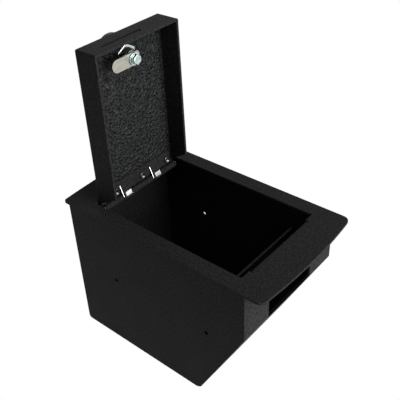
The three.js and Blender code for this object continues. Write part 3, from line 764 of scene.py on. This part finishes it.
# %% Block of the pan and the way it hangs
LID_LENGTH = 184.5
LID_HALF = 58.7
LID_TOP = 8.1
LID_INSIDE = 3.8
LID_RIM = -20.9
LID_BEND = 2
INNER_BEND = 0.8
OPEN_ANGLE = 90.7
HINGE_AXIS = (-93.5, 0, 171.5)


def hang(piece):
    """Turns a piece from the closed lid's frame to where the open lid stands."""
    select_only(piece)
    piece.rotation_euler = (0, -radians(OPEN_ANGLE), 0)
    piece.location = [c * MM for c in HINGE_AXIS]
    bpy.ops.object.transform_apply(location=True, rotation=True, scale=True)


def pan_block(name, inset, top, spare, bend):
    """The pan's block or hollow: rounded where plate and walls meet, longer by spare elsewhere."""
    front = LID_LENGTH - inset
    half = LID_HALF - inset
    made = slab(name, (-spare, front), (-half, half), (LID_RIM - spare, top))

    def is_bend(a, b):
        on_side = abs(abs(a.y) - half) < NEAR and abs(a.y - b.y) < NEAR
        return edges_at("z", top)(a, b) + edges_at("x", front)(a, b) + on_side == 2

    pick("EDGE", is_bend)
    round_off(bend, 5)
    return made


pan = pan_block("lid_shell", 0, LID_TOP, 0, LID_BEND)
carve(pan, pan_block("hollow", PLATE, LID_INSIDE, SPARE, INNER_BEND))
print("faces of the hollowed block:", len(pan.data.polygons))

# %% [markdown]
# Near the hinge the real walls are cut away on a slant, so that they clear the flange as the lid
# turns. The cam comes out through a slot in the front wall. The lock's hole has two flats that keep
# the lock from turning. Outside the pan has the box's coat, and inside its plate is hammered.

# %% Slant, slot and lock hole
WALL_START = 6
WALL_SLANT = 15
SLANT_CUT_END = 40
SLANT_TOP = LID_INSIDE - AIR
CAM_MIDDLE = -9.55
SLOT_HALF = 1.8
SLOT_ENDS = (-40, 14.3)
SLOT_CORNER = 1.2
LOCK_X = 158.5
LOCK_HOLE = 9.7
LOCK_HOLE_FLAT = 8.3

walls_cut = slab(
    "walls_cut", (-SPARE, SLANT_CUT_END), (-LID_HALF - SPARE, LID_HALF + SPARE),
    (LID_RIM - SPARE, SLANT_TOP),
)
lean = WALL_SLANT / (SLANT_TOP - LID_RIM)
score((WALL_START, 0, SLANT_TOP), (1, 0, lean), drop_outer=True, fill=True)
carve(pan, walls_cut)

slot = slab(
    "slot", (LID_LENGTH - 2 * PLATE, LID_LENGTH + PLATE), SLOT_ENDS,
    (CAM_MIDDLE - SLOT_HALF, CAM_MIDDLE + SLOT_HALF),
)
pick("EDGE", lambda a, b: abs(a.x - b.x) > 1)
round_off(SLOT_CORNER, 4)
carve(pan, slot)

lock_hole = round_bar("lock_hole", LOCK_HOLE, LID_INSIDE - 1, LID_TOP + 1, (LOCK_X, 0))
for side in (-1, 1):
    score((0, side * LOCK_HOLE_FLAT, 0), (0, side, 0), drop_outer=True, fill=True)
carve(pan, lock_hole)

pan.data.materials.append(powder_coat)
paint(pan, hammered_coat, lambda c, n: n.z < -0.9 and c.z > LID_INSIDE - 0.5)
hang(pan)
close_up(pan, rounding=0.4)
settle(pan, "lid", "lid_pan")

# %% [markdown]
# ## The hinge
# Both leaves are 1.8 mm steel whose fingers are rolled round a pin. A finger is a strip of the
# leaf that is extruded towards the pin and then spun about the pin's axis, which is just what the
# rolling tool does. The lid's two fingers slant down from the leaf and roll from below. The paint
# has been rubbed off their rolled part, except for a band at its near end, and off the cut edges
# that look to the near side. So each finger is scored where its finish changes.

# %% Lid leaf
LEAF = 1.8
BARREL = 3.7
LEAF_UNDER = BARREL - LEAF
LEAF_START = 4.2
LEAF_REACH = 21.5
LEAF_HALF = 52
FINGER_REACH = 14.5
KNUCKLES_LID = (17.5, 31)
GAP = 0.25
LID_ROLL = 280
EDGE_ROUND = 0.7
BARE_REACH = 5.5
BARE_EDGE_START = 2.5
PAINTED_END = 4.3

slant = atan2(LEAF_UNDER, FINGER_REACH) - acos(BARREL / hypot(FINGER_REACH, LEAF_UNDER))
near_edges = (-KNUCKLES_LID[1] + GAP, KNUCKLES_LID[0] + GAP)


def is_strip_end(a, b):
    """Whether an edge is where one of the two fingers starts."""
    middle = abs(a.y + b.y) / 2
    return edges_at("x", FINGER_REACH)(a, b) and KNUCKLES_LID[0] + GAP < middle < KNUCKLES_LID[1] - GAP


def is_near_edge(a, b):
    """Whether an edge runs along the underside of a finger on its near side."""
    along = abs(a.x - b.x) > 5 and a.z + b.z < 0
    return along and any(edges_at("y", y)(a, b) for y in near_edges)


def is_bare(centre, normal):
    """Whether a face of the leaf has lost its paint."""
    on_finger = KNUCKLES_LID[0] < abs(centre.y) < KNUCKLES_LID[1] and centre.x < FINGER_REACH
    along = centre.y - (near_edges[0] if centre.y < 0 else near_edges[1])
    rolled = centre.x < BARE_REACH and along > PAINTED_END
    return on_finger and (rolled or (normal.y < -0.2 and centre.x > BARE_EDGE_START))


lid_leaf = flat_skin("lid_leaf", (LEAF_START, LEAF_REACH), (-LEAF_HALF, LEAF_HALF), LEAF_UNDER)
bpy.ops.mesh.flip_normals()
score((FINGER_REACH, 0, 0), (1, 0, 0))
for y in (KNUCKLES_LID[0], KNUCKLES_LID[0] + GAP, KNUCKLES_LID[1] - GAP, KNUCKLES_LID[1]):
    for side in (-1, 1):
        score((0, side * y, 0), (0, 1, 0))
pick("FACE", lambda c, n: c.x < FINGER_REACH and KNUCKLES_LID[0] < abs(c.y) < KNUCKLES_LID[1])
bpy.ops.mesh.delete(type="FACE")
pick("EDGE", is_strip_end)
pull(x=BARREL * cos(slant) - FINGER_REACH, z=BARREL * sin(slant) - LEAF_UNDER)
bpy.ops.mesh.spin(steps=18, angle=-radians(LID_ROLL), center=(0, 0, 0), axis=(0, 1, 0))
select_only(lid_leaf)
add_thickness(lid_leaf, LEAF)
apply_all(lid_leaf)
bpy.ops.object.mode_set(mode="EDIT")
pick("EDGE", is_near_edge)
round_off(EDGE_ROUND, 2)
score((BARE_REACH, 0, 0), (1, 0, 0))
for y in near_edges:
    score((0, y + PAINTED_END, 0), (0, 1, 0))
bpy.ops.object.mode_set(mode="OBJECT")
lid_leaf.data.materials.append(powder_coat)
paint(lid_leaf, drawn_steel, is_bare)
hang(lid_leaf)
close_up(lid_leaf, rounding=0.2)
settle(lid_leaf, "lid", "hinge_lid_leaf")

# %% [markdown]
# The box's leaf lies at the bottom of the knuckles, under the lip of the flange. Its three fingers
# roll up round the front of the pin, between and outside those of the lid.

# %% Box leaf
BOX_LEAF_REACH = 18.5
BOX_LEAF_HALF = 57.5
BOX_ROLL = 290
KNUCKLES_BOX = (
    (-BOX_LEAF_HALF, -KNUCKLES_LID[1] - GAP),
    (-KNUCKLES_LID[0] + GAP, KNUCKLES_LID[0] - GAP),
    (KNUCKLES_LID[1] + GAP, BOX_LEAF_HALF),
)
axis_x, _, axis_z = HINGE_AXIS
back = axis_x - LEAF_START


def starts_knuckle(a, b):
    """Whether an edge is where one of the three fingers starts."""
    low, high = sorted((a.y, b.y))
    inside = any(start - NEAR < low and high < end + NEAR for start, end in KNUCKLES_BOX)
    return edges_at("x", back)(a, b) and inside


box_leaf = flat_skin(
    "box_leaf", (axis_x - BOX_LEAF_REACH, back), (-BOX_LEAF_HALF, BOX_LEAF_HALF), axis_z - BARREL,
)
bpy.ops.mesh.flip_normals()
for y in (KNUCKLES_LID[0] - GAP, KNUCKLES_LID[1] + GAP):
    for side in (-1, 1):
        score((0, side * y, 0), (0, 1, 0))
pick("EDGE", starts_knuckle)
pull(x=LEAF_START)
axis_place = [c * MM for c in HINGE_AXIS]
bpy.ops.mesh.spin(steps=20, angle=radians(BOX_ROLL), center=axis_place, axis=(0, 1, 0))
close_up(box_leaf, rounding=0.2, thickness=LEAF)
settle(box_leaf, "box", "hinge_box_leaf")

# %% [markdown]
# The pin is drawn steel with a low head at each end, which keeps it from sliding out. Pin and heads
# are three bars joined into one piece, because the heads' rims are then rounded on their own.

# %% Hinge pin
PIN_HALF = 58
PIN_RADIUS = 1.6
PIN_HEAD_RADIUS = 2.6
PIN_HEAD = 1.2


def join(first, *others):
    """Joins pieces into the first one."""
    select_only(first, *others)
    bpy.ops.object.join()
    return first


pin_heads = []
for side in (-1, 1):
    end = side * (PIN_HALF + PIN_HEAD)
    low, high = sorted((side * PIN_HALF, end))
    head = round_bar("pin_head", PIN_HEAD_RADIUS, low, high, (axis_x, axis_z), 24, "Y")
    pick("EDGE", edges_at("y", end))
    round_off(0.7, 3)
    pin_heads.append(head)
pin = round_bar("pin", PIN_RADIUS, -PIN_HALF - AIR, PIN_HALF + AIR, (axis_x, axis_z), 24, "Y")
pin = join(pin, *pin_heads)
close_up(pin)
settle(pin, "box", "hinge_pin")

# %% [markdown]
# Three blind rivets hold the leaf to the lid. Such a rivet has a low dome that is dished where its
# mandrel broke off. One is made from a short bar: its rim is rounded, and the middle is inset twice,
# the second time inwards, which makes the dish. The dish is bare steel. The other two are copies.

# %% Rivets
RIVET_PLACES = (-37.5, 4.5, 46.5)
RIVET_X = 10.5
RIVET_RADIUS = 4.2
RIVET_HEIGHT = 1.9
RIVET_ROUND = 0.8
DISH_RIM = 0.1
DISH_SLOPE = 2.1
DISH_DEPTH = 1.3
DISH_RADIUS = 2.9
DISH_HIGH = 1.5
RIVET_SEAT = LEAF_UNDER - AIR

first_y = RIVET_PLACES[0]
lowest = RIVET_SEAT - RIVET_HEIGHT


def in_dish(centre, normal):
    """Whether a face of the rivet lies in its dish."""
    off_axis = hypot(centre.x - RIVET_X, centre.y - first_y)
    return off_axis < DISH_RADIUS and centre.z < lowest + DISH_HIGH


rivet = round_bar("rivet_1", RIVET_RADIUS, lowest, RIVET_SEAT, (RIVET_X, first_y), 32)
pick("EDGE", edges_at("z", lowest))
round_off(RIVET_ROUND, 4)
pick("FACE", end_face(RIVET_X, first_y, -1))
bpy.ops.mesh.inset(thickness=DISH_RIM * MM)
bpy.ops.mesh.inset(thickness=DISH_SLOPE * MM, depth=-DISH_DEPTH * MM)
rivet.data.materials.append(rubbed_paint)
paint(rivet, drawn_steel, in_dish)
hang(rivet)
close_up(rivet)
rivets = [rivet]
for i, y in enumerate(RIVET_PLACES[1:]):
    rivets.append(twin(rivet, f"rivet_{i + 2}", y - first_y))
for i, piece in enumerate(rivets):
    settle(piece, "lid", f"leaf_rivet_{i + 1}")

# %% [markdown]
# ## The lock
# The lock goes through the lid. Outside it has a thick round head, inside a threaded barrel on
# which a nut sits. The head is a bar with a round rim. Its face is sunk round the key plug by two
# insets that are pulled in, which leaves a ring as a lathe would.

# %% Lock head
HEAD_RADIUS = 19.7
HEAD_SEAT = LID_TOP + AIR
HEAD_TOP = 26
HEAD_ROUND = 3
SEAT_ROUND = 0.6
FACE_RADIUS = 8.6
FACE_DEPTH = 0.5
FACE_RING = 1.3
PLUG_SEAT = HEAD_TOP - 3.8

head = round_bar("lock_head", HEAD_RADIUS, HEAD_SEAT, HEAD_TOP, (LOCK_X, 0), 64)
for z, radius in ((HEAD_TOP, HEAD_ROUND), (HEAD_SEAT, SEAT_ROUND)):
    pick("EDGE", edges_at("z", z))
    round_off(radius, 5)
pick("FACE", end_face(LOCK_X, 0, 1))
bpy.ops.mesh.inset(thickness=(HEAD_RADIUS - HEAD_ROUND - FACE_RADIUS) * MM)
pull(z=-FACE_DEPTH)
bpy.ops.mesh.inset(thickness=FACE_RING * MM)
pull(z=PLUG_SEAT - HEAD_TOP + FACE_DEPTH)
head.update_from_editmode()
print("faces of the lock's head:", len(head.data.polygons))

# %% [markdown]
# The barrel has a thread and two flats that fit the lid's hole. The thread is a real helix: one
# tooth is carried round and up by the Screw modifier and is then joined to the barrel's core. Bump
# in a material would leave the barrel's outline straight. Planes then cut the flats and the end.

# %% Threaded barrel
BARREL_OUT = 9.4
BARREL_END = -6.7
BARREL_FLAT = 8
THREAD_DEPTH = 0.8
THREAD_PITCH = 1.6
THREAD_FILL = 0.98
THREAD_TURNS = 8
core_radius = BARREL_OUT - THREAD_DEPTH

core = round_bar("barrel_core", core_radius, BARREL_END, HEAD_SEAT + 1, (LOCK_X, 0), 48)
select_only()
bpy.ops.mesh.primitive_plane_add(size=1, rotation=(pi / 2, 0, 0))
bpy.context.object.scale = (2 * THREAD_DEPTH * MM, THREAD_FILL * THREAD_PITCH * MM, 1)
tooth = begin("tooth")
pick("EDGE", lambda a, b: min(a.x, b.x) > 0)
bpy.ops.mesh.merge(type="CENTER")
select_only(tooth)
tooth.location.x = core_radius * MM
tooth.location.z = (BARREL_END - THREAD_PITCH / 2) * MM
bpy.ops.object.transform_apply(location=True)
helix = tooth.modifiers.new("helix", "SCREW")
helix.axis = "Z"
helix.screw_offset = THREAD_PITCH * MM
helix.iterations = THREAD_TURNS
helix.steps = helix.render_steps = 40
helix.use_normal_calculate = True
apply_all(tooth)
tooth.location.x = LOCK_X * MM
bpy.ops.object.transform_apply(location=True)
barrel = join(core, tooth)
bpy.ops.object.mode_set(mode="EDIT")
for side in (-1, 1):
    score((0, side * BARREL_FLAT, 0), (0, side, 0), drop_outer=True, fill=True)
score((0, 0, BARREL_END), (0, 0, -1), drop_outer=True, fill=True)
bpy.ops.mesh.select_all(action="SELECT")
bpy.ops.mesh.normals_make_consistent(inside=False)
lock = join(head, barrel)
hang(lock)
close_up(lock)
settle(lock, "lid", "lock_body")

# %% [markdown]
# The nut is stamped from a hexagon bar. Its corners are turned off at both ends. A cut by a cone
# would be exact, but a bevel along its rims gives the same light lines for less work.

# %% Nut
NUT_FLATS = 24
NUT_HEIGHT = 5
NUT_ROUND = 0.7
NUT_PLAY = 0.2
NUT_TOP = LID_INSIDE - AIR
NUT_UNDER = NUT_TOP - NUT_HEIGHT


def hexagon_bar(name, across_flats, low, high):
    """A six-sided bar at the lock's axis, with two corners on the lid's long axis."""
    bar = round_bar(name, across_flats / 2 / cos(pi / 6), low, high, (0, 0), 6)
    select_only(bar)
    bar.rotation_euler = (0, 0, pi / 6)
    bar.location.x = LOCK_X * MM
    bpy.ops.object.transform_apply(location=True, rotation=True)
    bpy.ops.object.mode_set(mode="EDIT")
    return bar


nut = hexagon_bar("lock_nut", NUT_FLATS, NUT_UNDER, NUT_TOP)
pick("EDGE", lambda a, b: abs(a.z - b.z) < NEAR)
round_off(NUT_ROUND, 2)
carve(nut, round_bar("nut_bore", BARREL_OUT + NUT_PLAY, NUT_UNDER - 1, NUT_TOP + 1, (LOCK_X, 0)))
hang(nut)
close_up(nut, rounding=0.2)
settle(nut, "lid", "lock_mounting_nut")

# %% [markdown]
# ### What turns with the key
# The plug, a stop washer, the cam, a washer and a screw turn as one. The plug is a round bar with a
# wider head that the keyway is cut into. Its square tail carries the rest of the stack.

# %% Key plug
PLUG_TOP = HEAD_TOP - 1
PLUG_HEAD_RADIUS = 7
PLUG_HEAD_HEIGHT = 2.5
PLUG_HEAD_ROUND = 0.5
PLUG_RADIUS = 5.5
KEYWAY_HALF = 4
KEYWAY_DEPTH = 2
TAIL_HALF = 3.7
TAIL_END = -10.5
OVERLAP = 0.1

plug_head = round_bar("plug_head", PLUG_HEAD_RADIUS, PLUG_TOP - PLUG_HEAD_HEIGHT, PLUG_TOP, (LOCK_X, 0))
pick("EDGE", edges_at("z", PLUG_TOP))
round_off(PLUG_HEAD_ROUND, 3)
keyway = slab(
    "keyway", (LOCK_X - 1, LOCK_X + 1), (-KEYWAY_HALF, KEYWAY_HALF),
    (PLUG_TOP - KEYWAY_DEPTH, PLUG_TOP + 1),
)
carve(plug_head, keyway)
plug_high = PLUG_TOP - PLUG_HEAD_HEIGHT + OVERLAP
plug = round_bar("plug", PLUG_RADIUS, BARREL_END, plug_high, (LOCK_X, 0), 40)
tail = slab(
    "plug_tail", (LOCK_X - TAIL_HALF, LOCK_X + TAIL_HALF), (-TAIL_HALF, TAIL_HALF),
    (TAIL_END, BARREL_END + 1),
)
plug = join(plug, plug_head, tail)
hang(plug)
close_up(plug, rounding=0.15)
settle(plug, "lock_plug", "key_plug")

# %% [markdown]
# The cam is stamped flat and has round ends, the outer one a full half circle. Its edges are a
# little rounded by the tumbling that took its burrs off. Cam and stop washer have a square hole for
# the plug's tail. A block whose upright edges are bevelled gives the cam's outline with few points.

# %% Stop washer and cam
CAM_TOP = -8.3
CAM_UNDER = -10.8
CAM_HALF = 7.1
CAM_REACH = 30
CAM_TAIL = 8.4
STACK_GAP = 0.3
STOP_RADIUS = 8.4
STOP_THICKNESS = 1
TAIL_PLAY = 0.3


def tail_hole(piece, low, high):
    """Cuts the square hole that the plug's tail fits into."""
    half = TAIL_HALF + TAIL_PLAY
    carve(piece, slab("tail_hole", (LOCK_X - half, LOCK_X + half), (-half, half), (low - 1, high + 1)))


stop_under = CAM_TOP + STACK_GAP
stop = round_bar("stop_disc", STOP_RADIUS, stop_under, stop_under + STOP_THICKNESS, (LOCK_X, 0))
tail_hole(stop, CAM_TOP, CAM_TOP + 2)
hang(stop)
close_up(stop, rounding=0.15)
settle(stop, "lock_plug", "stop_washer")

cam_sides = (LOCK_X - CAM_HALF, LOCK_X + CAM_HALF)
tongue = slab("cam_tongue", cam_sides, (-CAM_REACH, CAM_TAIL), (CAM_UNDER, CAM_TOP))
pick("EDGE", lambda a, b: abs(a.z - b.z) > 0.1 and a.y < 0)
round_off(CAM_HALF - NEAR, 14)
pick("EDGE", lambda a, b: abs(a.z - b.z) > 0.1 and abs(a.y - CAM_TAIL) < NEAR)
round_off(CAM_HALF / 2, 8)
tail_hole(tongue, CAM_UNDER, CAM_TOP)
hang(tongue)
close_up(tongue, rounding=0.35, segments=3)
settle(tongue, "lock_plug", "cam")

# %% [markdown]
# A plain washer and a hexagon screw hold the cam. The screw's head is made like the nut, with its
# outer rim rounded and its end sunk, as a cold-headed screw has it.

# %% Washer and screw
WASHER_RADIUS = 6.8
WASHER_THICKNESS = 1.2
WASHER_BORE = 2.7
WASHER_TOP = CAM_UNDER - STACK_GAP
WASHER_UNDER = WASHER_TOP - WASHER_THICKNESS
SCREW_FLATS = 10
SCREW_HEAD = 4
SCREW_ROUND = 0.9
SCREW_RIM = 1.6
SCREW_DISH = 0.5
SHANK_RADIUS = 2.4
SHANK_LENGTH = 12
SCREW_SEAT = WASHER_UNDER - STACK_GAP

washer = round_bar("washer", WASHER_RADIUS, WASHER_UNDER, WASHER_TOP, (LOCK_X, 0), 40)
carve(washer, round_bar("washer_bore", WASHER_BORE, CAM_UNDER - 3, CAM_UNDER + 1, (LOCK_X, 0), 24))
hang(washer)
close_up(washer, rounding=0.25)
settle(washer, "lock_plug", "cam_washer")

screw = hexagon_bar("screw_head", SCREW_FLATS, SCREW_SEAT - SCREW_HEAD, SCREW_SEAT)
pick("EDGE", edges_at("z", SCREW_SEAT - SCREW_HEAD))
round_off(SCREW_ROUND, 3)
pick("FACE", end_face(LOCK_X, 0, -1))
bpy.ops.mesh.inset(thickness=SCREW_RIM * MM)
pull(z=SCREW_DISH)
shank_ends = (SCREW_SEAT - 1, SCREW_SEAT + SHANK_LENGTH)
shank = round_bar("screw_shank", SHANK_RADIUS, *shank_ends, (LOCK_X, 0), 24)
screw = join(screw, shank)
hang(screw)
close_up(screw, rounding=0.15)
settle(screw, "lock_plug", "cam_screw")

# %% [markdown]
# ## Light
# The photograph has a soft key light that comes almost level from the front end, and little light
# from above. A large soft lamp stands there, a second one stands higher on the same side for the
# flange, and a very weak one hangs over the box. The world fills the rest. Area lamps were chosen
# because their size makes the shadows soft. Places and sizes are in metres.

# %% Lamps
def soft_lamp(name, place, aim, size, power):
    """A square area lamp that looks from its place at what it lights."""
    lamp = bpy.data.objects.new(name, bpy.data.lights.new(name, "AREA"))
    lamp.data.size = size
    lamp.data.energy = power
    lamp.location = place
    lamp.rotation_euler = (Vector(aim) - Vector(place)).to_track_quat("-Z", "Y").to_euler()
    scene.collection.objects.link(lamp)
    return lamp


lamps = [
    soft_lamp("key_lamp", place=(1.6, 0.25, 0.35), aim=(0, 0, 0.2), size=0.9, power=29),
    soft_lamp("high_lamp", place=(0.9, 0.1, 1.3), aim=(0, 0, 0.15), size=0.8, power=9),
    soft_lamp("top_lamp", place=(0.1, -0.2, 1.8), aim=(0, 0, 0.1), size=1.2, power=0.5),
]
print("lamps:", ", ".join(lamp.name for lamp in lamps))

# %% [markdown]
# ## The white room
# The photograph's background is plain white, and no lamp can make a floor that white without
# burning out the object. So floor and world show plain white to the camera, and to rays that come
# off gloss or through glass, while every other ray meets their real, dimmer surface.

# %% World and floor
WORLD_FILL = 0.1
FLOOR_SIZE = 6


def white_to_camera(tree, lit, output):
    """Shows plain white to the camera, to gloss and through glass, and the lit surface to the rest."""
    white = add_node(tree, "ShaderNodeEmission", {"Color": (1, 1, 1, 1), "Strength": 1.0})
    path = add_node(tree, "ShaderNodeLightPath")
    seen = add_node(tree, "ShaderNodeMath", {
        0: path.outputs["Is Camera Ray"], 1: path.outputs["Is Glossy Ray"],
    }, operation="MAXIMUM")
    either = add_node(tree, "ShaderNodeMath", {
        0: seen.outputs["Value"], 1: path.outputs["Is Transmission Ray"],
    }, operation="MAXIMUM")
    choice = add_node(tree, "ShaderNodeMixShader", {
        0: either.outputs["Value"], 1: lit, 2: white.outputs[0],
    })
    tree.links.new(choice.outputs[0], output)


world = bpy.data.worlds.new("white_room")
world.use_nodes = True
scene.world = world
fill = world.node_tree.nodes["Background"]
fill.inputs["Color"].default_value = (1, 1, 1, 1)
fill.inputs["Strength"].default_value = WORLD_FILL
world_output = world.node_tree.nodes["World Output"].inputs["Surface"]
white_to_camera(world.node_tree, fill.outputs[0], world_output)

select_only()
bpy.ops.mesh.primitive_plane_add(size=FLOOR_SIZE, location=(0, 0, 0))
floor = bpy.context.object
floor.name = "floor"
paper, tree, surface = new_finish("white_paper", Base_Color=(0.8, 0.8, 0.8, 1), Roughness=0.9)
white_to_camera(tree, surface.outputs[0], tree.nodes["Material Output"].inputs["Surface"])
floor.data.materials.append(paper)
print("floor and world are white to the camera")

# %% [markdown]
# ## Colours for the solids
# The solids under the pieces get their slot's finish too, so that none of them is ever shown grey.

# %% Finish the solids
for part in frame["record"]["subparts"]:
    for material_slot in nodes[part["node"]].material_slots:
        material_slot.link = "OBJECT"
        material_slot.material = FINISHES[part["material_slot"]]
